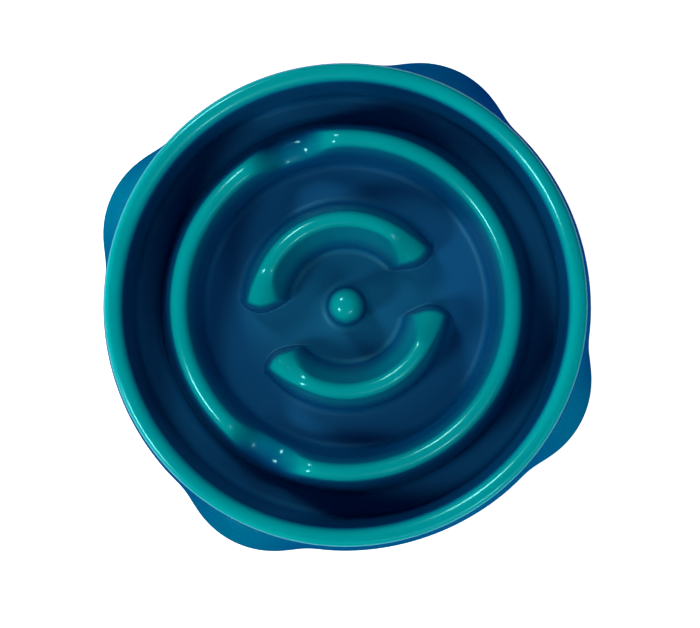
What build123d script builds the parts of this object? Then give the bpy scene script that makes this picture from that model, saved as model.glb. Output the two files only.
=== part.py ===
from build123d import *
import os
from math import acos, atan2, cos, degrees, hypot, radians, sin

os.makedirs("parts", exist_ok=True)

# Driving sizes, in millimetres and degrees

# Rim and basin
rim_radius = 110.0
rim_band = 8.2
rim_inner_round = 4.6
rim_outer_round = 3.0
rim_drop = 4.0
bowl_height = 50.0
wall = 2.4
floor_height = 10.0
basin_taper = 2.8
root_round = 4.0

# Ring ridge with its two low saddles, placed as a share of the basin's radius
ring_place_share = 0.777
ring_crest = 8.2
ring_height = 28.0
ring_inner_run = 6.2
ring_outer_run = 6.8
saddle_angles = (90.0, 222.0)
saddle_depth = 14.0
saddle_width = 16.0
saddle_ramp_run = 11.0
saddle_round = 8.0

# Two arc ridges, placed the same way and made as one ring with two gaps cut through it, which are
# wide and sloped by a share of the ring's radius
arc_place_share = 0.3992
arc_crest = 8.2
arc_height = 27.0
arc_inner_run = 8.6
arc_outer_run = 5.4
gap_angles = (-4.5, 178.8)
gap_width_share = 0.51
gap_end_rise = 14.0
gap_end_run = 2.0
gap_ramp_share = 0.42
gap_round = 6.0

# Rounding along the edges of every crest, and where a crest turns down into a ramp
crest_round = 3.2
ramp_round = 8.0

# Centre post
post_top_radius = 7.4
post_base_radius = 9.0
post_height = 22.0
post_round = 6.4

# Skirt with four lobes and a low arch between each pair of them
skirt_flare = 5.5
lobe_flare = 8.1
lobe_round = 43.0
lobe_blend = 30.0
skirt_lift = 1.2
arch_span = 84.0
arch_rise = 6.0

# Rubber feet and the bosses that hold them
foot_angles = {"back_right": 45.0, "back_left": 135.0, "front_left": 225.0, "front_right": 315.0}
foot_inset = 12.1
foot_radius = 8.5
foot_thickness = 2.6
foot_edge_round = 0.8
boss_radius = 5.6
bore_radius = 3.0
bore_depth = 11.0
stem_radius = 2.5
stem_length = 9.0
barb_count = 3
barb_land = 0.6
barb_slope = 1.4

# Overrun of every cut past the faces that it cuts, and how closely edges are found by height
overrun = 5.0
level_tolerance = 0.01

# Heights, radii and angles that follow from the driving sizes
floor_underside = floor_height - wall
sunk_floor = floor_height - wall / 2
cut_bottom = floor_underside - overrun
rim_inner_radius = rim_radius - rim_band
basin_radius = rim_inner_radius - basin_taper
rim_underside = bowl_height - wall
skirt_top = bowl_height - rim_drop
ring_radius = basin_radius * ring_place_share
arc_radius = basin_radius * arc_place_share
gap_width = arc_radius * gap_width_share
gap_ramp_run = arc_radius * gap_ramp_share
skirt_base_radius = rim_radius + skirt_flare
lobe_tip = skirt_base_radius + lobe_flare
foot_reach = lobe_tip - foot_inset
lobe_spacing = 360.0 / len(foot_angles)


def slanted(skin, run, rise):
    """Sideways thickness of a wall that is skin thick and leans by run over rise."""
    return skin * hypot(run, rise) / rise


def polar(radius, angle, height=0):
    """Point at a radius and an angle from the axis of the bowl."""
    return Vector(radius * cos(radians(angle)), radius * sin(radians(angle)), height)


def rounded(face, corner, radius):
    """Round the corner of a flat face that lies nearest to the point given."""
    return fillet(face.vertices().sort_by_distance(corner)[0], radius)


def spun(face):
    """Turn a face of radius and height once round the axis of the bowl."""
    return revolve(Plane.XZ * face, Axis.Z)


def cutter(face, angle, inner, outer):
    """Prism that runs outward at one angle, from a face of sideways distance and height."""
    plane = Plane(origin=polar(inner, angle), x_dir=polar(1, angle + 90), z_dir=polar(1, angle))
    return extrude(plane * face, amount=outer - inner)


def level_edges(part, height):
    """Edges that lie flat at one height."""
    return part.edges().filter_by_position(Axis.Z, height - level_tolerance, height + level_tolerance)


def cup():
    """Floor, basin wall and rounded rim as one turned shell."""
    side = slanted(wall, basin_taper, bowl_height - floor_height)
    rim_inner = (rim_inner_radius, bowl_height)
    rim_outer = (rim_radius, bowl_height)
    outline = Polyline(
        (0, floor_height),
        (basin_radius, floor_height),
        rim_inner,
        rim_outer,
        (rim_radius, skirt_top),
        (rim_radius - wall, skirt_top),
        (rim_radius - wall, rim_underside),
        (rim_inner_radius + side, rim_underside),
        (basin_radius + side, floor_underside),
        (0, floor_underside),
        close=True,
    )
    face = rounded(make_face(outline), rim_inner, rim_inner_round)
    return spun(rounded(face, rim_outer, rim_outer_round))


def ridge_ring(radius, crest, height, inner_run, outer_run, skin):
    """Plain ring with two leaning walls, drawn in by skin to give the hollow under it."""
    inner_top = radius - crest / 2 + slanted(skin, inner_run, height)
    outer_top = radius + crest / 2 - slanted(skin, outer_run, height)
    top = floor_height + height - skin
    bottom = cut_bottom if skin else sunk_floor
    drop_share = (floor_height + height - bottom) / height
    outline = Polyline(
        (inner_top, top),
        (outer_top, top),
        (outer_top + outer_run * drop_share, bottom),
        (inner_top - inner_run * drop_share, bottom),
        close=True,
    )
    return spun(make_face(outline))


def carried(start, end, height):
    """Point at a height on the straight line through two points."""
    return (start[0] + (end[0] - start[0]) * (height - start[1]) / (end[1] - start[1]), height)


def notch(points, corner, radius, skin):
    """Cut that is alike on both sides, from points up one side, rounded and grown by skin."""
    mirrored = [(-across, height) for across, height in reversed(points)]
    face = make_face(Polyline(*points, *mirrored, close=True))
    for across in (-corner[0], corner[0]):
        face = rounded(face, (across, corner[1]), radius)
    return offset(face, skin) if skin else face


def ring_ridge(skin):
    """Ring ridge with its saddles, or the hollow under it."""
    ridge = ridge_ring(ring_radius, ring_crest, ring_height, ring_inner_run, ring_outer_run, skin)
    crest = floor_height + ring_height
    low = (saddle_width / 2, crest - saddle_depth)
    high = (saddle_width / 2 + saddle_ramp_run, crest)
    face = notch([low, carried(low, high, crest + overrun)], low, saddle_round, skin)
    inner = ring_radius - ring_crest - ring_inner_run - overrun
    outer = ring_radius + ring_crest + ring_outer_run + overrun
    for angle in saddle_angles:
        ridge -= cutter(face, angle, inner, outer)
    return ridge


def arc_ridges(skin):
    """The two arc ridges with their sloping ends, or the hollows under them."""
    ridge = ridge_ring(arc_radius, arc_crest, arc_height, arc_inner_run, arc_outer_run, skin)
    crest = floor_height + arc_height
    toe = (gap_width / 2, floor_height)
    knee = (gap_width / 2 + gap_end_run, floor_height + gap_end_rise)
    high = (gap_width / 2 + gap_end_run + gap_ramp_run, crest)
    points = [carried(toe, knee, cut_bottom), knee, carried(knee, high, crest + overrun)]
    face = notch(points, knee, gap_round, skin)
    outer = arc_radius + arc_crest + arc_outer_run + overrun
    for angle in gap_angles:
        ridge -= cutter(face, angle, 0, outer)
    return ridge


def softened(ridge):
    """Round a ridge where its crest turns down into a ramp, then along all its upper edges."""
    crest = level_edges(ridge, ridge.bounding_box().max.Z)
    ridge = fillet(crest.filter_by(GeomType.LINE), ramp_round)
    smooth = level_edges(ridge, sunk_floor) + ridge.edges().filter_by(GeomType.LINE)
    return fillet(ridge.edges() - smooth, crest_round)


def post(skin):
    """Domed centre post, or the hollow under it."""
    side = slanted(skin, post_base_radius - post_top_radius, post_height)
    top = floor_height + post_height - skin
    bottom = cut_bottom if skin else sunk_floor
    shoulder = (post_top_radius - side, top)
    outline = Polyline((0, bottom), (post_base_radius - side, bottom), shoulder, (0, top), close=True)
    return spun(rounded(make_face(outline), shoulder, post_round - skin))


def basin():
    """Cup with its ridges and post, rounded where they meet the floor and hollow underneath."""
    solid = cup() + softened(ring_ridge(0)) + softened(arc_ridges(0)) + post(0)
    solid = fillet(level_edges(solid, floor_height), root_round)
    return solid - ring_ridge(wall) - arc_ridges(wall) - post(wall)


def lobe_points(inset):
    """Corner and middle points of one lobe and the valley after it, as radius and angle."""
    valley = skirt_base_radius - inset
    lobe = lobe_round - inset
    blend = lobe_blend + inset
    lobe_centre = polar(lobe_tip - lobe_round, 0)
    reach = valley + blend
    turn_share = (reach**2 + lobe_centre.X**2 - (lobe + blend) ** 2) / (2 * lobe_centre.X * reach)
    valley_angle = degrees(acos(turn_share))
    blend_centre = polar(reach, valley_angle)
    shoulder = lobe_centre + (blend_centre - lobe_centre).normalized() * lobe
    chord_middle = (shoulder + polar(valley, valley_angle)) / 2
    waist = blend_centre + (chord_middle - blend_centre).normalized() * blend
    shoulder_angle = degrees(atan2(shoulder.Y, shoulder.X))
    waist_angle = degrees(atan2(waist.Y, waist.X))
    corners = [
        (valley, -valley_angle),
        (shoulder.length, -shoulder_angle),
        (shoulder.length, shoulder_angle),
        (valley, valley_angle),
    ]
    middles = [
        (waist.length, -waist_angle),
        (lobe_tip - inset, 0),
        (waist.length, waist_angle),
        (valley, lobe_spacing / 2),
    ]
    return corners, middles


def closed_arcs(corners, middles):
    """Face inside arcs that run from corner to corner, each through its middle point."""
    ends = corners[1:] + corners[:1]
    return make_face([ThreePointArc(*points) for points in zip(corners, middles, ends)])


def skirt_form(inset):
    """Solid inside the skirt: a lobed outline at the base, drawn up to a circle under the rim."""
    corners, middles = lobe_points(inset)
    turns = foot_angles.values()
    top = rim_radius - inset
    base_face = closed_arcs(
        [polar(radius, turn + angle, skirt_lift) for turn in turns for radius, angle in corners],
        [polar(radius, turn + angle, skirt_lift) for turn in turns for radius, angle in middles],
    )
    top_face = closed_arcs(
        [polar(top, turn + angle, skirt_top) for turn in turns for radius, angle in corners],
        [polar(top, turn + angle, skirt_top) for turn in turns for radius, angle in middles],
    )
    return loft([base_face, top_face], ruled=True)


def arch():
    """Opening under the skirt between two lobes."""
    half = arch_span / 2
    foot_of_cut = skirt_lift - overrun
    curve = ThreePointArc((-half, skirt_lift), (0, skirt_lift + arch_rise), (half, skirt_lift))
    legs = Polyline((half, skirt_lift), (half, foot_of_cut), (-half, foot_of_cut), (-half, skirt_lift))
    return make_face(curve + legs)


def skirt():
    """Thin lobed skirt, open underneath and arched between its lobes."""
    shell = skirt_form(0) - skirt_form(wall)
    for angle in foot_angles.values():
        shell -= cutter(arch(), angle + lobe_spacing / 2, rim_inner_radius, lobe_tip + overrun)
    return shell


def upright(radius, bottom, top):
    """Upright round bar between two heights."""
    bar = Cylinder(radius, top - bottom, align=(Align.CENTER, Align.CENTER, Align.MIN))
    return Pos(0, 0, bottom) * bar


def bowl_moulding():
    """The whole moulding: basin, skirt and the four bosses that hold the feet."""
    moulding = basin() + skirt()
    boss_top = bowl_height - wall / 2
    envelope = skirt_form(0) + upright(rim_radius - wall, skirt_top, boss_top)
    for angle in foot_angles.values():
        place = Pos(polar(foot_reach, angle))
        moulding += place * upright(boss_radius, foot_thickness, boss_top) & envelope
    for angle in foot_angles.values():
        place = Pos(polar(foot_reach, angle))
        moulding -= place * upright(bore_radius, foot_thickness - overrun, foot_thickness + bore_depth)
    return moulding


def foot():
    """Rubber foot: a round pad with a barbed stem that is pressed into a boss."""
    sole_edge = (foot_radius, 0)
    seat_edge = (foot_radius, foot_thickness)
    points = [(0, 0), sole_edge, seat_edge, (stem_radius, foot_thickness)]
    pitch = stem_length / barb_count
    for barb in range(barb_count):
        tip = foot_thickness + (barb + 1) * pitch
        land_top = tip - barb_slope
        land_bottom = land_top - barb_land
        points += [
            (stem_radius, land_bottom),
            (bore_radius, land_bottom),
            (bore_radius, land_top),
            (stem_radius, tip),
        ]
    points.append((0, foot_thickness + stem_length))
    face = make_face(Polyline(*points, close=True))
    for edge in (sole_edge, seat_edge):
        face = rounded(face, edge, foot_edge_round)
    return spun(face)


pieces = {"bowl_moulding": bowl_moulding()}
for name, angle in foot_angles.items():
    pieces["foot_" + name] = Pos(polar(foot_reach, angle)) * foot()
for name, piece in pieces.items():
    export_step(piece, f"parts/{name}.step")
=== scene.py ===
# %% [markdown]
# A slow feeder bowl
# It is one glossy teal moulding that stands on four small rubber feet. Its inside is a maze: a ring
# ridge with two low saddles, two arc ridges with sloping ends, and a domed post in the middle. This
# lesson loads the measured model as a fixed frame, lights it like a small studio shot, gives plastic
# and rubber their own materials, and builds a smooth moulding that stands for the measured one.

# %% Load the frame
from math import cos, hypot, pi, radians, sin, tan

import bpy
from mathutils import Matrix, Vector


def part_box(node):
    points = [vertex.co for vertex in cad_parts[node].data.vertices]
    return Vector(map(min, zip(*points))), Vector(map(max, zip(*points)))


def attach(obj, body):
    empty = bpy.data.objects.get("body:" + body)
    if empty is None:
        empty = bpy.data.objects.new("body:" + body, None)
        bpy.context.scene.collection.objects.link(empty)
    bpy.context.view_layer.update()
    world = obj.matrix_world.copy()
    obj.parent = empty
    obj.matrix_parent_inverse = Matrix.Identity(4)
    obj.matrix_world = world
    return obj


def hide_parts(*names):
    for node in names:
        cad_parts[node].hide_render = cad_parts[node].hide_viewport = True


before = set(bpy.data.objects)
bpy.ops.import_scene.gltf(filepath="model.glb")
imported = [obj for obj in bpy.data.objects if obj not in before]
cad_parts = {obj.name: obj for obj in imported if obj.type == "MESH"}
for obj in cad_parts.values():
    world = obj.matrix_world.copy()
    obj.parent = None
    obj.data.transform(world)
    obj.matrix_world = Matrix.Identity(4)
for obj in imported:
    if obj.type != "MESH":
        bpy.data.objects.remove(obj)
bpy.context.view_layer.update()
scene = bpy.context.scene
mm = 0.001
print("nodes:", ", ".join(sorted(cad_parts)))

# %% [markdown]
# Camera
# The bowl is seen almost straight from above, turned a little about its axis, and the lobes at its base
# show only just outside the rim. A camera without perspective would come close, but a long lens from
# five bowl widths away keeps the slight spread of the walls. It leans a little off the vertical,
# towards the lower right of the picture, where a thin line of the outer wall shows.

# %% Camera
rim_plane = 48 * mm
view_turn = -19.5
lean_turn = -53
view_lean = 1.3
camera_distance = 1.1
picture_span = 317.8 * mm
sensor_span = 36
aim_right = 2.1 * mm
aim_down = 4.3 * mm


def around(radius, degrees, height=0.0):
    """Point at a radius and an angle from the axis of the bowl."""
    return Vector((radius * cos(radians(degrees)), radius * sin(radians(degrees)), height))


away = around(sin(radians(view_lean)), view_turn + lean_turn, cos(radians(view_lean)))
up = away.cross(around(1, view_turn)).normalized()
right = up.cross(away)
aim = Vector((0, 0, rim_plane)) + right * aim_right - up * aim_down
camera_data = bpy.data.cameras.new("camera")
camera_data.sensor_width = sensor_span
camera_data.lens = sensor_span * camera_distance / picture_span
camera = bpy.data.objects.new("camera", camera_data)
camera.matrix_world = Matrix((right, up, away)).transposed().to_4x4()
camera.location = aim + away * camera_distance
scene.collection.objects.link(camera)
scene.camera = camera
print("lens:", round(camera_data.lens, 1), "mm")

# %% [markdown]
# Colour and node helpers
# Colours are picked as hex values, as a paint chart gives them, but Blender mixes light in linear
# values, so one function converts them. One more function adds any node to any tree: it sets the node's
# options, then fills its inputs in order or by name, and links an input when it is handed a socket.

# %% Helpers


def linear(hex_colour):
    """Linear colour with full alpha from an sRGB hex value."""
    parts = [int(hex_colour[place:place + 2], 16) / 255 for place in (1, 3, 5)]
    parts = [part / 12.92 if part <= 0.04045 else ((part + 0.055) / 1.055) ** 2.4 for part in parts]
    return (*parts, 1.0)


def add(tree, kind, *values, named=None, **settings):
    """Add a node with its settings, fill or link its inputs, and return its first live output."""
    node = tree.nodes.new(kind)
    for setting, value in settings.items():
        setattr(node, setting, value)
    live = [socket for socket in node.inputs if socket.enabled]
    by_name = [(node.inputs[name], value) for name, value in (named or {}).items()]
    for socket, value in [*zip(live, values), *by_name]:
        if isinstance(value, bpy.types.NodeSocket):
            tree.links.new(value, socket)
        else:
            socket.default_value = value
    return next((socket for socket in node.outputs if socket.enabled), node)


def material_tree(name):
    """New node material, emptied, and its tree."""
    material = bpy.data.materials.new(name)
    material.use_nodes = True
    material.node_tree.nodes.clear()
    return material, material.node_tree


print("middle grey in linear values:", round(linear("#808080")[0], 3))

# %% [markdown]
# Floor
# The bowl stands on a sweep of white paper that curves up all round it, and a pale ring lies on the
# sweep and draws a thin light line on the outer edge of the rim. A large plane would do for the view
# from above, but a sheet turned about the axis has no edge from any side. The sweep itself neither
# lights the bowl nor shows in it, so that only the lamps and the sky light the plastic, and the ring is
# seen only in the gloss.

# %% Floor
# Radii and heights in metres
sweep_profile = ((0.0, 0.0), (2.0, 0.0), (2.6, 0.15), (2.9, 0.6), (3.0, 1.4), (3.0, 3.0))
reflector_profile = ((0.148, 0.0), (0.45, 0.0))
sheet_sides = 64
paper_colour = "#FFFFFF"
paper_grain = 1.1 * mm
paper_shades = (0.9, 0.94)
paper_dullness = 0.9
paper_glow = 0.9
reflector_colour = "#8AD2FF"
reflector_glow = 1.0
# Most values of a noise texture lie between these two
noise_span = (0.3, 0.7)


def turned_sheet(name, profile, colour, glow):
    """Sheet of glowing paper turned about the axis from a profile of radii and heights."""
    angles = [360 * side / sheet_sides for side in range(sheet_sides)]
    spots = [around(radius, angle, height) for radius, height in profile for angle in angles]
    faces = []
    for spot in range(sheet_sides * (len(profile) - 1)):
        after = spot + 1 if (spot + 1) % sheet_sides else spot + 1 - sheet_sides
        faces.append((spot, spot + sheet_sides, after + sheet_sides, after))
    sheet = bpy.data.objects.new(name, bpy.data.meshes.new(name))
    sheet.data.from_pydata(spots, [], faces)
    material, tree = material_tree(name + " paper")
    place = add(tree, "ShaderNodeTexCoord").node.outputs["Object"]
    fibre = add(tree, "ShaderNodeTexNoise", place, named={"Scale": 1 / paper_grain})
    shade = add(tree, "ShaderNodeMapRange", fibre, *noise_span, *paper_shades)
    paper = add(tree, "ShaderNodeBsdfPrincipled",
                named={"Base Color": shade, "Roughness": paper_dullness,
                       "Emission Color": linear(colour), "Emission Strength": glow})
    add(tree, "ShaderNodeOutputMaterial", paper)
    sheet.data.materials.append(material)
    sheet.visible_diffuse = False
    sheet.visible_shadow = False
    scene.collection.objects.link(sheet)
    return sheet


floor = turned_sheet("floor", sweep_profile, paper_colour, paper_glow)
floor.visible_glossy = False
reflector = turned_sheet("reflector", reflector_profile, reflector_colour, reflector_glow)
reflector.visible_camera = False
print("stage:", floor.name, "and", reflector.name)

# %% [markdown]
# Lights
# Three small softboxes, about 48 degrees off the vertical, draw the short bright streaks along the
# rounded edges of the ridges, and a large one backs the weakest of them. Two low cards light the outer
# wall, and a fill evens out the slopes. One big dome of light would be simpler, but a glossy flat top
# mirrors whatever hangs straight above it and turns pale, so nothing bright hangs there. The cards and
# the fill show in no reflection, so that the streaks stay few and short.

# %% Lights
light_distance = 1.2
softbox_lean = 48
# A turn about the axis in degrees, a width in metres and a power in watts
softboxes = {
    "softbox_upper_left": (106, 0.27, 5.7),
    "softbox_left": (190.5, 0.27, 6.2),
    "softbox_lower_right": (286, 0.15, 1.2),
    "large_softbox": (286, 0.8, 1.1),
}
# A turn and a lean off the vertical in degrees, a width, a height and a power
cards = {
    "card_left": (150, 86.8, 1.6, 0.12, 12.5),
    "card_lower_right": (287.5, 86.8, 1.6, 0.12, 8.5),
    "fill": (262, 42, 0.6, 0.6, 2.2),
}


def panel(name, turn, lean, width, height, watts):
    """Area light at a turn about the axis and a lean off the vertical, aimed at the bowl."""
    data = bpy.data.lights.new(name, "AREA")
    data.shape = "RECTANGLE"
    data.size = width
    data.size_y = height
    data.energy = watts
    light = bpy.data.objects.new(name, data)
    place = around(light_distance * sin(radians(lean)), turn, light_distance * cos(radians(lean)))
    light.matrix_world = Matrix.Translation(place) @ place.to_track_quat("Z", "Y").to_matrix().to_4x4()
    light.visible_camera = False
    scene.collection.objects.link(light)
    return light


for name, (turn, width, watts) in softboxes.items():
    panel(name, turn, softbox_lean, width, width, watts)
for name, values in cards.items():
    panel(name, *values).visible_glossy = False
print("lights:", ", ".join([*softboxes, *cards]))

# %% [markdown]
# Sky
# In a studio a little light comes from everywhere, sent back by walls and table. Bounces off a white
# sweep could give it, but they would wash out the teal. So the world itself glows weakly in blue, more
# from below than from above, and the shadows in the channels stay blue.

# %% Sky
sky_colour = "#006CFF"
upper_glow = 0.13
lower_glow = 0.2
# Half the band about level in which the glow changes, as the upright part of a direction
horizon_band = 0.1

world = bpy.data.worlds.new("studio")
world.use_nodes = True
tree = world.node_tree
tree.nodes.clear()
rise = add(tree, "ShaderNodeSeparateXYZ", add(tree, "ShaderNodeTexCoord")).node.outputs["Z"]
glow = add(tree, "ShaderNodeMapRange", rise, -horizon_band, horizon_band, lower_glow, upper_glow)
sky = add(tree, "ShaderNodeBackground", linear(sky_colour), glow)
add(tree, "ShaderNodeOutputWorld", sky)
scene.world = world
scene.view_settings.view_transform = "Standard"
print("world:", world.name)

# %% [markdown]
# Glossy moulded plastic
# The bowl is polypropylene or ABS, coloured right through with a teal pigment and moulded against a
# polished tool. It looks green-blue where light falls straight on it and blue to navy in shade. One
# colour and the lamps alone give too little of that, so shade is painted into the colour: slopes are
# painted a darker blue the further they turn from facing up, and low places in the basin are painted
# navy, the more so the nearer they lie to the high outer wall.

# %% Colour of the plastic, with painted shade
flat_colour = "#00A09B"
# Painted shade colour for slopes, mixed in as a surface turns away from facing up
slope_shade_colour = "#007A90"
# Painted shade colour for low places in the basin
deep_shade_colour = "#004A78"
# Upright part of a surface's direction, where it counts as steep and where it counts as flat for the
# painted slope shade
steep_from = 0.2
flat_from = 0.8
# Levels at which the painted shade in the basin starts and is full
shade_starts = 23 * mm
shade_ends = 7 * mm
# The painted shade from the outer wall reaches nothing within the first radius, and is strongest from
# the second on
open_radius = 30 * mm
wall_radius = 100 * mm
basin_edge = 103.5 * mm
# How much deeper a place counts for the painted shade beside the outer wall, and on a steep slope
wall_shade = 27 * mm
steep_shade = 6 * mm
cloud_width = 40 * mm
cloud_detail = 3.0
cloud_tints = (0.94, 1.06)

plastic, tree = material_tree("teal moulded plastic")
place = add(tree, "ShaderNodeTexCoord").node.outputs["Object"]
level = add(tree, "ShaderNodeSeparateXYZ", place).node.outputs["Z"]
normal = add(tree, "ShaderNodeNewGeometry").node.outputs["Normal"]
upright = add(tree, "ShaderNodeSeparateXYZ", normal).node.outputs["Z"]
# Share of the teal of the tops by how far a surface faces up; the rest is painted slope shade
flat_share = add(tree, "ShaderNodeMapRange", upright, steep_from, flat_from,
                 interpolation_type="SMOOTHSTEP")
steep_share = add(tree, "ShaderNodeMapRange", upright, flat_from, steep_from)
flat_place = add(tree, "ShaderNodeVectorMath", place, (1, 1, 0), operation="MULTIPLY")
from_axis = add(tree, "ShaderNodeVectorMath", flat_place, operation="LENGTH").node.outputs["Value"]
inside = add(tree, "ShaderNodeMath", from_axis, basin_edge, operation="LESS_THAN")
outward = add(tree, "ShaderNodeMapRange", from_axis, open_radius, wall_radius)
shut_in = add(tree, "ShaderNodeMath", outward, outward, operation="MULTIPLY")
open_level = add(tree, "ShaderNodeMath", shut_in, -wall_shade, level, operation="MULTIPLY_ADD")
lit_level = add(tree, "ShaderNodeMath", steep_share, -steep_shade, open_level, operation="MULTIPLY_ADD")
# Painted shade in the basin: the lower a place lies, the nearer the outer wall and the steeper, the more
# navy
deep_shade_share = add(tree, "ShaderNodeMapRange", lit_level, shade_starts, shade_ends, 0.0, inside,
            interpolation_type="SMOOTHSTEP")
# Painted shade on slopes over the teal of the tops, then painted navy shade low in the basin
slope_shaded = add(tree, "ShaderNodeMix", flat_share, linear(slope_shade_colour), linear(flat_colour), data_type="RGBA")
deep_shaded = add(tree, "ShaderNodeMix", deep_shade_share, slope_shaded, linear(deep_shade_colour), data_type="RGBA")
cloud = add(tree, "ShaderNodeTexNoise", place, named={"Scale": 1 / cloud_width, "Detail": cloud_detail})
tint = add(tree, "ShaderNodeMapRange", cloud, *noise_span, *cloud_tints)
colour = add(tree, "ShaderNodeVectorMath", deep_shaded, tint, operation="MULTIPLY")
print("colours of the plastic:", flat_colour, slope_shade_colour, deep_shade_colour)

# %% [markdown]
# Gloss of the plastic
# The crests of the ridges are polished and mirror the lights sharply, with the colour of the pigment in
# the reflection, while the channels, which are harder to polish in the tool, are duller. A single
# roughness would look like glass. A faint orange-peel ripple a few millimetres wide and a little uneven
# gloss break the highlights up, as on plastic.

# %% Gloss of the plastic
polish_span = (0.14, 0.18)
dull_starts = 15 * mm
dull_ends = 11 * mm
channel_dullness = 0.35
ripple_width = 3.0 * mm
ripple_height = 0.1 * mm
ripple_share = 0.015
plastic_index = 1.49
gleam_colour = "#95FFFF"

polish = add(tree, "ShaderNodeMapRange", cloud, *noise_span, *polish_span)
dull = add(tree, "ShaderNodeMapRange", level, dull_starts, dull_ends, 0.0, inside)
gloss = add(tree, "ShaderNodeMath", dull, channel_dullness, polish, operation="MULTIPLY_ADD")
ripple = add(tree, "ShaderNodeTexNoise", place, named={"Scale": 1 / ripple_width})
peel = add(tree, "ShaderNodeBump",
           named={"Strength": ripple_share, "Distance": ripple_height, "Height": ripple})
shader = add(tree, "ShaderNodeBsdfPrincipled",
             named={"Base Color": colour, "Roughness": gloss, "Normal": peel, "IOR": plastic_index,
                    "Specular Tint": linear(gleam_colour)})
add(tree, "ShaderNodeOutputMaterial", shader)
print("material:", plastic.name)

# %% [markdown]
# Foot rubber
# The feet are soft black rubber, moulded in a tool with a sandblasted face. It is dark, hardly shines
# and has a fine grain of a few tenths of a millimetre, drawn here at half a millimetre so that it
# shows. The measured feet have the right shape already, so they only get the material.

# %% Foot rubber
rubber_colours = ("#2A2B2D", "#3B3C3E")
rubber_grain = 0.5 * mm
grain_height = 0.1 * mm
grain_share = 0.3
dullness_span = (0.62, 0.78)
rubber_index = 1.52

rubber, tree = material_tree("matt moulded rubber")
place = add(tree, "ShaderNodeTexCoord").node.outputs["Object"]
grain = add(tree, "ShaderNodeTexNoise", place, named={"Scale": 1 / rubber_grain})
shade = add(tree, "ShaderNodeMix", grain, *map(linear, rubber_colours), data_type="RGBA")
dullness = add(tree, "ShaderNodeMapRange", grain, *noise_span, *dullness_span)
relief = add(tree, "ShaderNodeBump",
             named={"Strength": grain_share, "Distance": grain_height, "Height": grain})
shader = add(tree, "ShaderNodeBsdfPrincipled",
             named={"Base Color": shade, "Roughness": dullness, "Normal": relief, "IOR": rubber_index})
add(tree, "ShaderNodeOutputMaterial", shader)
feet = [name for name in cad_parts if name.startswith("foot_")]
for foot in feet:
    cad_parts[foot].data.materials.clear()
    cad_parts[foot].data.materials.append(rubber)
print("material:", rubber.name, "on", len(feet), "feet")

# %% [markdown]
# Section of the moulding
# A bowl like this is drawn as a section first: one line from the top of the post, over the arc ridge
# and the ring ridge, up the basin wall, over the rim and down the skirt, and back underneath one wall
# thickness away. It could be drawn as a curve, but a list of corners with a rounding each can be read
# and changed. The sizes follow the measured model, with crests that are a little narrower and rounder.

# %% Sizes of the section
moulding_low, moulding_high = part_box("bowl_moulding")
bowl_height = moulding_high.z
skirt_lift = moulding_low.z
wall = 2.4 * mm
floor_height = 10 * mm
root_round = 4 * mm
rim_radius = 110 * mm
rim_band = 8.2 * mm
rim_inner_round = 5.2 * mm
rim_outer_round = 3 * mm
rim_drop = 4 * mm
basin_taper = 2.8 * mm
skirt_flare = 5.5 * mm
skirt_edge_round = 0.8 * mm
post_top_radius = 7.4 * mm
post_base_radius = 9 * mm
post_height = 22 * mm
post_round = 7.2 * mm
ring_place_share = 0.775
arc_place_share = 0.4012
rim_inner_radius = rim_radius - rim_band
basin_radius = rim_inner_radius - basin_taper
skirt_base_radius = rim_radius + skirt_flare
skirt_top = bowl_height - rim_drop
ring_ridge = {
    "radius": basin_radius * ring_place_share, "crest": 6.7 * mm, "height": 28 * mm,
    "inner_run": 6.7 * mm, "outer_run": 7.8 * mm, "inner_round": 4.2 * mm, "outer_round": 4.4 * mm,
}
arc_ridge = {
    "radius": basin_radius * arc_place_share, "crest": 6.0 * mm, "height": 27 * mm,
    "inner_run": 9.9 * mm, "outer_run": 6.4 * mm, "inner_round": 4.0 * mm, "outer_round": 4.0 * mm,
}
print("rim", round(2 * rim_radius / mm), "mm wide,", round(bowl_height / mm), "mm high")

# %% [markdown]
# Corners of the section
# A ridge is hollow underneath, as on most mouldings, so that its wall cools evenly and leaves no dents.
# The hollow could be made by thickening a sheet, but where walls meet that leaves folds. So both sides
# are written out: one function gives the four corners of a ridge, or those of its hollow, which lies at
# least a wall thickness further in. Only the corners on the side that shows are rounded.

# %% Corners of the section


def ridge_corners(radius, crest, height, inner_run, outer_run, inner_round, outer_round, skin):
    """Corners across one ridge from the inside out, or across the hollow under it."""
    inner_top = radius - crest / 2 + skin * hypot(inner_run, height) / height
    outer_top = radius + crest / 2 - skin * hypot(outer_run, height) / height
    top = floor_height + height - skin
    bottom = floor_height - skin
    shown = 0 if skin else 1
    return [(inner_top - inner_run, bottom, root_round * shown), (inner_top, top, inner_round * shown),
            (outer_top, top, outer_round * shown), (outer_top + outer_run, bottom, root_round * shown)]


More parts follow.
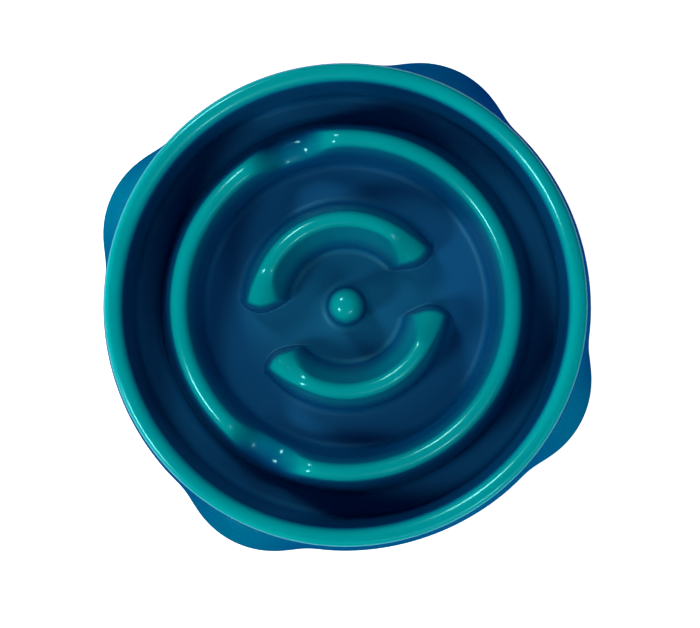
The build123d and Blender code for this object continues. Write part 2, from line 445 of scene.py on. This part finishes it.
shown_corners = [
    (0, floor_height + post_height, 0),
    (post_top_radius, floor_height + post_height, post_round),
    (post_base_radius, floor_height, root_round),
    *ridge_corners(**arc_ridge, skin=0),
    *ridge_corners(**ring_ridge, skin=0),
    (basin_radius, floor_height, root_round),
    (rim_inner_radius, bowl_height, rim_inner_round),
    (rim_radius, bowl_height, rim_outer_round),
    (rim_radius, skirt_top, 0),
    (skirt_base_radius, skirt_lift, skirt_edge_round),
    (skirt_base_radius - wall / 2, skirt_lift, 0),
]
hidden_corners = [
    (skirt_base_radius - wall, skirt_lift, 0),
    (rim_radius - wall, skirt_top, 0),
    (rim_radius - wall, bowl_height - wall, 0),
    (rim_inner_radius + wall, bowl_height - wall, 0),
    (basin_radius + wall, floor_height - wall, 0),
    *reversed(ridge_corners(**ring_ridge, skin=wall)),
    *reversed(ridge_corners(**arc_ridge, skin=wall)),
    (post_base_radius - wall, floor_height - wall, 0),
    (post_top_radius - wall, floor_height + post_height - wall, post_round - wall),
    (0, floor_height + post_height - wall, 0),
]
print("corners:", len(shown_corners), "shown,", len(hidden_corners), "underneath")

# %% [markdown]
# From corners to a line
# Each corner becomes a short arc, and each long straight run is divided, because the spun surface can
# only bend where the line has points. A bevel on a curve would round the corners too, but not each by
# its own radius. The side that shows gets more points than the underside. Every point also remembers
# its skin, the distance from the side that shows, in an attribute that the node tree reads later.

# %% Section line
shown_steps = 9
hidden_steps = 3
shown_run = 3.5 * mm
hidden_run = 7 * mm


def corner_arc(before, corner, after, radius, steps):
    """Points of the arc that rounds one corner."""
    inward = (before - corner).normalized()
    outward = (after - corner).normalized()
    half = inward.angle(outward) / 2
    centre = corner + (inward + outward).normalized() * (radius / sin(half))
    first = corner + inward * (radius / tan(half)) - centre
    last = corner + outward * (radius / tan(half)) - centre
    spokes = [first.slerp(last, step / steps).normalized() for step in range(steps + 1)]
    return [centre + spoke * radius for spoke in spokes]


def rounded_line(corners, steps, longest):
    """Points along a line of corners, with rounded corners and divided straight runs."""
    spots = [Vector((radius, height)) for radius, height, _ in corners]
    bends = [spots[:1]]
    for place in range(1, len(spots) - 1):
        radius = corners[place][2]
        trio = spots[place - 1:place + 2]
        bends.append(corner_arc(*trio, radius, steps) if radius else [spots[place]])
    bends.append(spots[-1:])
    points = []
    for bend in bends:
        if points:
            start = points[-1]
            parts = int((bend[0] - start).length / longest) + 1
            points += [start.lerp(bend[0], part / parts) for part in range(1, parts)]
        points += bend
    return points


shown_line = rounded_line(shown_corners, shown_steps, shown_run)
hidden_line = rounded_line(hidden_corners, hidden_steps, hidden_run)
line = shown_line + hidden_line
section_data = bpy.data.meshes.new("section")
section_data.from_pydata([(point.x, 0, point.y) for point in line],
                         [(place, place + 1) for place in range(len(line) - 1)], [])
skins = section_data.attributes.new("skin", "FLOAT", "POINT")
skins.data.foreach_set("value", [0.0] * len(shown_line) + [wall] * len(hidden_line))
section = bpy.data.objects.new("section", section_data)
scene.collection.objects.link(section)
print("section line of", len(line), "points")

# %% [markdown]
# Spinning the section
# A potter's wheel in nodes: a grid gets one row for each point of the line and one column for each step
# round the axis, and each grid point takes its row's radius and height at its column's angle. The Screw
# modifier spins a line as well, but only in even steps. Here the columns are crowded a little towards
# the two gaps of the arc ridges, where the shape changes most. The seam and the two points on the axis
# are merged later.

# %% Spin group
maths = "ShaderNodeMath"
columns = 360
crowding = 0.4
crowded_angle = radians(-3.0)
crowded_places = 2


def new_tree(name, sizes):
    """Geometry tree with a geometry input and output and a named input for each size."""
    tree = bpy.data.node_groups.new(name, "GeometryNodeTree")
    tree.interface.new_socket("Geometry", in_out="INPUT", socket_type="NodeSocketGeometry")
    tree.interface.new_socket("Geometry", in_out="OUTPUT", socket_type="NodeSocketGeometry")
    for size, value in sizes.items():
        kind = "NodeSocketInt" if isinstance(value, int) else "NodeSocketFloat"
        tree.interface.new_socket(size, in_out="INPUT", socket_type=kind).default_value = value
    return tree, tree.nodes.new("NodeGroupInput").outputs


spin_sizes = {
    "columns": columns,
    "crowding": crowding,
    "crowded angle": crowded_angle,
    "crowded places": crowded_places,
}
spin_tree, given = new_tree("spin section", spin_sizes)
rows = add(spin_tree, "GeometryNodeAttributeDomainSize", given["Geometry"])
per_row = add(spin_tree, maths, given["columns"], 1.0, operation="ADD")
grid = add(spin_tree, "GeometryNodeMeshGrid", 1.0, 1.0, rows, per_row)
index = add(spin_tree, "GeometryNodeInputIndex")
row = add(spin_tree, maths, add(spin_tree, maths, index, per_row, operation="DIVIDE"), operation="FLOOR")
column = add(spin_tree, maths, index, per_row, operation="MODULO")
step_angle = add(spin_tree, maths, 2 * pi, given["columns"], operation="DIVIDE")
even_angle = add(spin_tree, maths, column, step_angle, operation="MULTIPLY")
from_crowd = add(spin_tree, maths, even_angle, given["crowded angle"], operation="SUBTRACT")
swing_angle = add(spin_tree, maths, from_crowd, given["crowded places"], operation="MULTIPLY")
swing = add(spin_tree, maths, swing_angle, operation="SINE")
pull = add(spin_tree, maths, given["crowding"], given["crowded places"], operation="DIVIDE")
shift = add(spin_tree, maths, swing, pull, operation="MULTIPLY")
angle = add(spin_tree, maths, even_angle, shift, operation="SUBTRACT")
own_place = add(spin_tree, "GeometryNodeInputPosition")
on_line = add(spin_tree, "GeometryNodeSampleIndex", given["Geometry"], own_place, row,
              data_type="FLOAT_VECTOR")
own_skin = add(spin_tree, "GeometryNodeInputNamedAttribute", "skin", data_type="FLOAT")
line_skin = add(spin_tree, "GeometryNodeSampleIndex", given["Geometry"], own_skin, row,
                data_type="FLOAT")
turned = add(spin_tree, "ShaderNodeVectorRotate", on_line, named={"Angle": angle},
             rotation_type="Z_AXIS")
spun = add(spin_tree, "GeometryNodeSetPosition", grid, True, turned)
skinned = add(spin_tree, "GeometryNodeStoreNamedAttribute", spun, True, "skin", line_skin,
              data_type="FLOAT")
add(spin_tree, "NodeGroupOutput", skinned)
print("spin group:", len(spin_tree.nodes), "nodes")

# %% [markdown]
# The maze rule
# What makes the spun shape a maze is a rule on its heights. Round each saddle the ring may be no higher
# than a soft trough, and at each gap the arc ridge may be no higher than a steep end and a ramp.
# Cutting them out with a Boolean would leave hard edges. A smooth minimum of the height and each limit
# rounds the edges by itself. The skirt follows a second rule, further down. All sizes are named inputs
# of the tree.

# %% Sizes of the maze rule
saddle_angles = (90.0, 222.0)
saddle_depth = 14 * mm
saddle_ramp_run = 11 * mm
gap_angles = (-4.5, 178.8)
end_rise = 14 * mm
end_run = 2 * mm
ramp_run = 16.6 * mm
lobe_angle = 45.0
lobe_flare = 8.1 * mm
lobe_round = 43 * mm
foot_inset = 12.1 * mm
foot_thickness = 2.6 * mm
# Both sides of the skirt's wall lie outside this radius
skirt_starts = rim_radius - 1.2 * wall
skirt_height = skirt_top - skirt_lift
lobe_tip = skirt_base_radius + lobe_flare
sizes = {
    **spin_sizes,
    "ring radius": ring_ridge["radius"],
    "ring reach": 15 * mm,
    "saddle level": floor_height + ring_ridge["height"] - saddle_depth,
    "saddle half width": 8 * mm,
    "saddle slope": saddle_depth / saddle_ramp_run,
    "saddle softness": 9 * mm,
    "saddle crown": 9 * mm,
    "arc radius": arc_ridge["radius"],
    "arc reach": 15.5 * mm,
    "arc height": arc_ridge["height"],
    "floor height": floor_height,
    "gap half width": 10 * mm,
    "end rise": end_rise,
    "end run": end_run,
    "end slope": end_rise / end_run,
    "end crown": 12 * mm,
    "ramp slope": (arc_ridge["height"] - end_rise) / ramp_run,
    "ramp crown": 16 * mm,
    "ramp softness": 12 * mm,
    "edge softness": 4 * mm,
    "knee softness": 12 * mm,
    "toe softness": 9 * mm,
    "skin share": 1.2,
    "wall": wall,
    "rim radius": rim_radius,
    "skirt starts": skirt_starts,
    "skirt top": skirt_top,
    "skirt height": skirt_height,
    "skirt flare": skirt_flare,
    "skirt base": skirt_base_radius,
    "lobe count": len(feet),
    "lobe centre": lobe_tip - lobe_round,
    "lobe round": lobe_round,
    "lobe softness": 6 * mm,
    "lobe lean": (lobe_tip - rim_radius) / skirt_height,
    "arch rise": 6 * mm,
    "arch round": 150 * mm,
    "boss radius": 5.6 * mm,
    "boss reach": lobe_tip - foot_inset,
    "boss stub": 2.6 * mm,
    "boss bottom": foot_thickness,
    "boss top": bowl_height - wall / 2,
}
maze_tree, given = new_tree("maze moulding", sizes)
print("named inputs:", len(sizes))

# %% [markdown]
# Where each point lies
# A rule needs to know where a point lies: its radius and angle about the axis, and its distance from
# the middle of a ridge or of a gap. Sampling another mesh could tell, but plain sums on the position
# are exact. The few measures that both ridges need are small functions, and each adds its nodes once
# for every use.

# %% Where each point lies
spin_group = add(maze_tree, "GeometryNodeGroup", node_tree=spin_tree).node
for name in ("Geometry", *spin_sizes):
    maze_tree.links.new(given[name], spin_group.inputs[name])
spot = add(maze_tree, "ShaderNodeSeparateXYZ", add(maze_tree, "GeometryNodeInputPosition")).node.outputs
flat_spot = add(maze_tree, "ShaderNodeCombineXYZ", spot["X"], spot["Y"], 0.0)
radius = add(maze_tree, "ShaderNodeVectorMath", flat_spot, operation="LENGTH").node.outputs["Value"]
angle = add(maze_tree, maths, spot["Y"], spot["X"], operation="ARCTAN2")
skin = add(maze_tree, "GeometryNodeInputNamedAttribute", "skin", data_type="FLOAT")


def turn_from(centre, half_turn):
    """Signed angle from a centre line, in a pattern that repeats every two half turns."""
    apart = add(maze_tree, maths, angle, radians(centre), operation="SUBTRACT")
    back = add(maze_tree, maths, 0.0, half_turn, operation="SUBTRACT")
    return add(maze_tree, maths, apart, half_turn, back, operation="WRAP")


def distance_round(centre, track):
    """Distance from a centre line, measured along a circle."""
    turn = add(maze_tree, maths, turn_from(centre, pi), operation="ABSOLUTE")
    return add(maze_tree, maths, turn, track, operation="MULTIPLY")


def distance_off(track):
    """Distance from a circle, inwards or outwards."""
    apart = add(maze_tree, maths, radius, track, operation="SUBTRACT")
    return add(maze_tree, maths, apart, operation="ABSOLUTE")


def crown_drop(distance, crown):
    """Drop of a surface, crowned with a radius, at a distance from its middle line."""
    square = add(maze_tree, maths, distance, distance, operation="MULTIPLY")
    across = add(maze_tree, maths, crown, crown, operation="ADD")
    return add(maze_tree, maths, square, across, operation="DIVIDE")


print("nodes so far:", len(maze_tree.nodes))

# %% [markdown]
# Saddles of the ring
# At two places the ring ridge dips, so that a tongue can cross it. Each dip is a trough along the ring,
# level in the middle with a ramp on each side, and crowned across it so that its top is rounded. It
# could be pressed in by hand with a soft selection, but a limit on the height gives both dips the same
# shape. Only points within reach of the ring are lowered, so the basin wall and the arcs keep theirs.

# %% Saddles of the ring
height = spot["Z"]
off_ring = distance_off(given["ring radius"])
on_ring = add(maze_tree, maths, off_ring, given["ring reach"], operation="LESS_THAN")
ring_bow = crown_drop(off_ring, given["saddle crown"])
for centre in saddle_angles:
    along = distance_round(centre, given["ring radius"])
    past = add(maze_tree, maths, along, given["saddle half width"], operation="SUBTRACT")
    ramp = add(maze_tree, maths, past, given["saddle slope"], operation="MULTIPLY")
    trough = add(maze_tree, maths, 0.0, ramp, given["saddle softness"], operation="SMOOTH_MAX")
    raised = add(maze_tree, maths, given["saddle level"], trough, operation="ADD")
    crowned = add(maze_tree, maths, raised, ring_bow, operation="SUBTRACT")
    limit = add(maze_tree, maths, crowned, skin, operation="SUBTRACT")
    lowered = add(maze_tree, maths, height, limit, given["saddle softness"], operation="SMOOTH_MIN")
    change = add(maze_tree, maths, lowered, height, operation="SUBTRACT")
    height = add(maze_tree, maths, change, on_ring, height, operation="MULTIPLY_ADD")
print("saddles:", len(saddle_angles))

# %% [markdown]
# Ends of the arc ridges
# Each arc ridge slopes down gently towards its ends and then drops steeply to the floor. Its end is
# blunt, with rounded corners: it is set back the more the further a point lies from the middle of the
# ridge, as on a nose. The ramp runs softly into the crest, and its side edges keep a smaller rounding.
# Each end could be modelled by hand, but one rule shapes all four alike. The limit is taken from the
# floor up, so that the floor itself stays level in the gaps.

# %% Ends of the arc ridges
off_arc = distance_off(given["arc radius"])
on_arc = add(maze_tree, maths, off_arc, given["arc reach"], operation="LESS_THAN")
ramp_bow = crown_drop(off_arc, given["ramp crown"])
nose = crown_drop(off_arc, given["end crown"])
setback = add(maze_tree, maths, skin, given["skin share"], nose, operation="MULTIPLY_ADD")
end_starts = add(maze_tree, maths, given["gap half width"], setback, operation="ADD")
floor_level = add(maze_tree, maths, given["floor height"], skin, operation="SUBTRACT")
over_crest = add(maze_tree, maths, given["arc height"], given["edge softness"], operation="ADD")
for centre in gap_angles:
    along = distance_round(centre, given["arc radius"])
    past = add(maze_tree, maths, along, end_starts, operation="SUBTRACT")
    steep = add(maze_tree, maths, past, given["end slope"], operation="MULTIPLY")
    past_knee = add(maze_tree, maths, past, given["end run"], operation="SUBTRACT")
    ramp = add(maze_tree, maths, past_knee, given["ramp slope"], given["end rise"],
               operation="MULTIPLY_ADD")
    eased = add(maze_tree, maths, ramp, over_crest, given["ramp softness"], operation="SMOOTH_MIN")
    bent = add(maze_tree, maths, steep, eased, given["knee softness"], operation="SMOOTH_MIN")
    crowned = add(maze_tree, maths, bent, ramp_bow, operation="SUBTRACT")
    end = add(maze_tree, maths, 0.0, crowned, given["toe softness"], operation="SMOOTH_MAX")
    above = add(maze_tree, maths, height, floor_level, operation="SUBTRACT")
    rise = add(maze_tree, maths, above, 0.0, operation="MAXIMUM")
    softness = add(maze_tree, maths, rise, given["edge softness"], operation="MINIMUM")
    lowered = add(maze_tree, maths, rise, end, softness, operation="SMOOTH_MIN")
    change = add(maze_tree, maths, lowered, rise, operation="SUBTRACT")
    height = add(maze_tree, maths, change, on_arc, height, operation="MULTIPLY_ADD")
print("gaps:", len(gap_angles))

# %% [markdown]
# Lobes of the skirt
# The skirt stands on four lobes, which keep the bowl from tipping. At the base its outline is the
# larger of a circle and a rounded lobe, with a soft change between them, and the wall is drawn straight
# up from there to the rim. Lofting two outlines would do the same, but the spun skirt is there already
# and only has to swell.

# %% Lobes of the skirt
under_top = add(maze_tree, maths, given["skirt top"], spot["Z"], operation="SUBTRACT")
below_top = add(maze_tree, maths, under_top, 0.0, operation="MAXIMUM")
on_skirt = add(maze_tree, maths, radius, given["skirt starts"], operation="GREATER_THAN")
drop = add(maze_tree, maths, below_top, on_skirt, operation="MULTIPLY")
drop_share = add(maze_tree, maths, drop, given["skirt height"], operation="DIVIDE")
lobe_half_turn = add(maze_tree, maths, pi, given["lobe count"], operation="DIVIDE")
lobe_turn = turn_from(lobe_angle, lobe_half_turn)
lobe_sine = add(maze_tree, maths, lobe_turn, operation="SINE")
lobe_cosine = add(maze_tree, maths, lobe_turn, operation="COSINE")
sideways = add(maze_tree, maths, lobe_sine, given["lobe centre"], operation="MULTIPLY")
forward = add(maze_tree, maths, lobe_cosine, given["lobe centre"], operation="MULTIPLY")
curve = add(maze_tree, maths, given["lobe round"], skin, operation="SUBTRACT")
curve_square = add(maze_tree, maths, curve, curve, operation="MULTIPLY")
side_square = add(maze_tree, maths, sideways, sideways, operation="MULTIPLY")
chord_square = add(maze_tree, maths, curve_square, side_square, operation="SUBTRACT")
safe_square = add(maze_tree, maths, chord_square, 0.0, operation="MAXIMUM")
half_chord = add(maze_tree, maths, safe_square, operation="SQRT")
lobe = add(maze_tree, maths, forward, half_chord, operation="ADD")
valley = add(maze_tree, maths, given["skirt base"], skin, operation="SUBTRACT")
outline = add(maze_tree, maths, valley, lobe, given["lobe softness"], operation="SMOOTH_MAX")
swell = add(maze_tree, maths, outline, valley, operation="SUBTRACT")
print("lobes:", sizes["lobe count"])

# %% [markdown]
# Arches of the skirt
# Between two lobes the lower edge of the skirt is cut in a low arch, where fingers get under it. A
# Boolean with a cylinder would cut it, but it would leave ragged faces along the thin wall. Here the
# points of the wall slide up along its slant instead, the lowest ones the furthest, so the wall keeps
# its thickness and its grid.

# %% Arches of the skirt
arch_angle = lobe_angle - 180 / sizes["lobe count"]

arch_turn = turn_from(arch_angle, lobe_half_turn)
arch_sine = add(maze_tree, maths, arch_turn, operation="SINE")
beside = add(maze_tree, maths, arch_sine, given["skirt base"], operation="MULTIPLY")
beside_square = add(maze_tree, maths, beside, beside, operation="MULTIPLY")
arch_square = add(maze_tree, maths, given["arch round"], given["arch round"], operation="MULTIPLY")
bow_square = add(maze_tree, maths, arch_square, beside_square, operation="SUBTRACT")
bow = add(maze_tree, maths, bow_square, operation="SQRT")
below_bow = add(maze_tree, maths, given["arch round"], given["arch rise"], operation="SUBTRACT")
over_base = add(maze_tree, maths, bow, below_bow, operation="SUBTRACT")
arch = add(maze_tree, maths, over_base, 0.0, operation="MAXIMUM")
lift = add(maze_tree, maths, arch, drop_share, operation="MULTIPLY")
lift_share = add(maze_tree, maths, lift, given["skirt height"], operation="DIVIDE")
kept_share = add(maze_tree, maths, drop_share, lift_share, operation="SUBTRACT")
swollen = add(maze_tree, maths, swell, kept_share, radius, operation="MULTIPLY_ADD")
drawn_in = add(maze_tree, maths, given["skirt flare"], lift_share, operation="MULTIPLY")
new_radius = add(maze_tree, maths, swollen, drawn_in, operation="SUBTRACT")
new_height = add(maze_tree, maths, height, lift, operation="ADD")
print("arches:", sizes["lobe count"])

# %% [markdown]
# Bosses for the feet
# Under each lobe a round boss takes the stem of a rubber foot. Four separate cylinders would do, but
# they stand in a circle, so one short stub is placed on the points of a ring. The upper end of each
# stub is then drawn up to the slope of the lobe, so that it grows out of the wall and nowhere shows
# through it.

# %% Bosses
boss_sides = 40

stub = add(maze_tree, "GeometryNodeMeshCylinder", boss_sides, 1, 1, given["boss radius"],
           given["boss stub"])
ring = add(maze_tree, "GeometryNodeMeshCircle", given["lobe count"], given["boss reach"])
half_stub = add(maze_tree, maths, given["boss stub"], 2.0, operation="DIVIDE")
middle = add(maze_tree, maths, given["boss bottom"], half_stub, operation="ADD")
lifted = add(maze_tree, "ShaderNodeCombineXYZ", 0.0, 0.0, middle)
turned_ring = add(maze_tree, "GeometryNodeTransform", ring,
                  named={"Translation": lifted, "Rotation": (0.0, 0.0, radians(lobe_angle))})
placed = add(maze_tree, "GeometryNodeInstanceOnPoints", turned_ring, named={"Instance": stub})
stubs = add(maze_tree, "GeometryNodeRealizeInstances", placed)
half_wall = add(maze_tree, maths, given["wall"], 2.0, operation="DIVIDE")
in_wall = add(maze_tree, maths, radius, half_wall, operation="ADD")
past_rim = add(maze_tree, maths, in_wall, given["rim radius"], operation="SUBTRACT")
slope_drop = add(maze_tree, maths, past_rim, given["lobe lean"], operation="DIVIDE")
slope_height = add(maze_tree, maths, given["skirt top"], slope_drop, operation="SUBTRACT")
boss_top = add(maze_tree, maths, slope_height, given["boss top"], operation="MINIMUM")
upper_end = add(maze_tree, maths, spot["Z"], middle, operation="GREATER_THAN")
boss_spot = add(maze_tree, "ShaderNodeCombineXYZ", spot["X"], spot["Y"], boss_top)
bosses = add(maze_tree, "GeometryNodeSetPosition", stubs, upper_end, boss_spot)
print("bosses:", sizes["lobe count"])

# %% [markdown]
# Finishing the tree
# Every point now has a new radius and height, and its angle turns them back into a place. The moulding
# is one piece of plastic, so the bosses join the shell. The seam of the spin and its points on the axis
# fall together and are merged, which could be done by hand afterwards, but in the tree it follows every
# change of size.

# %% Finish the tree
weld_distance = 0.001 * mm

angle_cosine = add(maze_tree, maths, angle, operation="COSINE")
angle_sine = add(maze_tree, maths, angle, operation="SINE")
new_x = add(maze_tree, maths, new_radius, angle_cosine, operation="MULTIPLY")
new_y = add(maze_tree, maths, new_radius, angle_sine, operation="MULTIPLY")
new_spot = add(maze_tree, "ShaderNodeCombineXYZ", new_x, new_y, new_height)
shaped = add(maze_tree, "GeometryNodeSetPosition", spin_group.outputs["Geometry"], True, new_spot)
joined = add(maze_tree, "GeometryNodeJoinGeometry", bosses)
maze_tree.links.new(shaped, joined.node.inputs["Geometry"])
welded = add(maze_tree, "GeometryNodeMergeByDistance", joined, named={"Distance": weld_distance})
smooth = add(maze_tree, "GeometryNodeSetShadeSmooth", welded)
whole = add(maze_tree, "GeometryNodeRealizeInstances", smooth)
finished = add(maze_tree, "GeometryNodeSetMaterial", whole, named={"Material": plastic})
add(maze_tree, "NodeGroupOutput", finished)
print("maze tree:", len(maze_tree.nodes), "nodes")

# %% [markdown]
# The moulding as a plain mesh
# The tree is run once on the section line. It could stay live as a modifier, but a finished piece is
# easier to hand on as a plain mesh, so the result is copied to one. Edges that are truly sharp, such as
# those under the skirt, are marked, so that the smooth shading doesn't smear over them.

# %% Moulding
sharp_from = 50


def grown(source, tree, sizes, name):
    """Run a geometry tree on an object and keep the result as a plain mesh object."""
    modifier = source.modifiers.new(name, "NODES")
    modifier.node_group = tree
    for item in tree.interface.items_tree:
        if item.in_out == "INPUT" and item.name in sizes:
            modifier[item.identifier] = sizes[item.name]
    evaluated = source.evaluated_get(bpy.context.evaluated_depsgraph_get())
    mesh = bpy.data.meshes.new_from_object(evaluated)
    source.modifiers.remove(modifier)
    mesh.name = name
    piece = bpy.data.objects.new(name, mesh)
    scene.collection.objects.link(piece)
    return piece


moulding = grown(section, maze_tree, sizes, "maze_moulding")
bpy.data.objects.remove(section)
moulding.data.set_sharp_from_angle(angle=radians(sharp_from))
moulding.data.update()
print("moulding:", len(moulding.data.vertices), "points,", len(moulding.data.polygons), "faces")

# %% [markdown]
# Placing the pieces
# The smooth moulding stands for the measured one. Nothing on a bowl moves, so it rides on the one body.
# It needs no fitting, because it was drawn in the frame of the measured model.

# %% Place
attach(moulding, "root")
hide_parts("bowl_moulding")
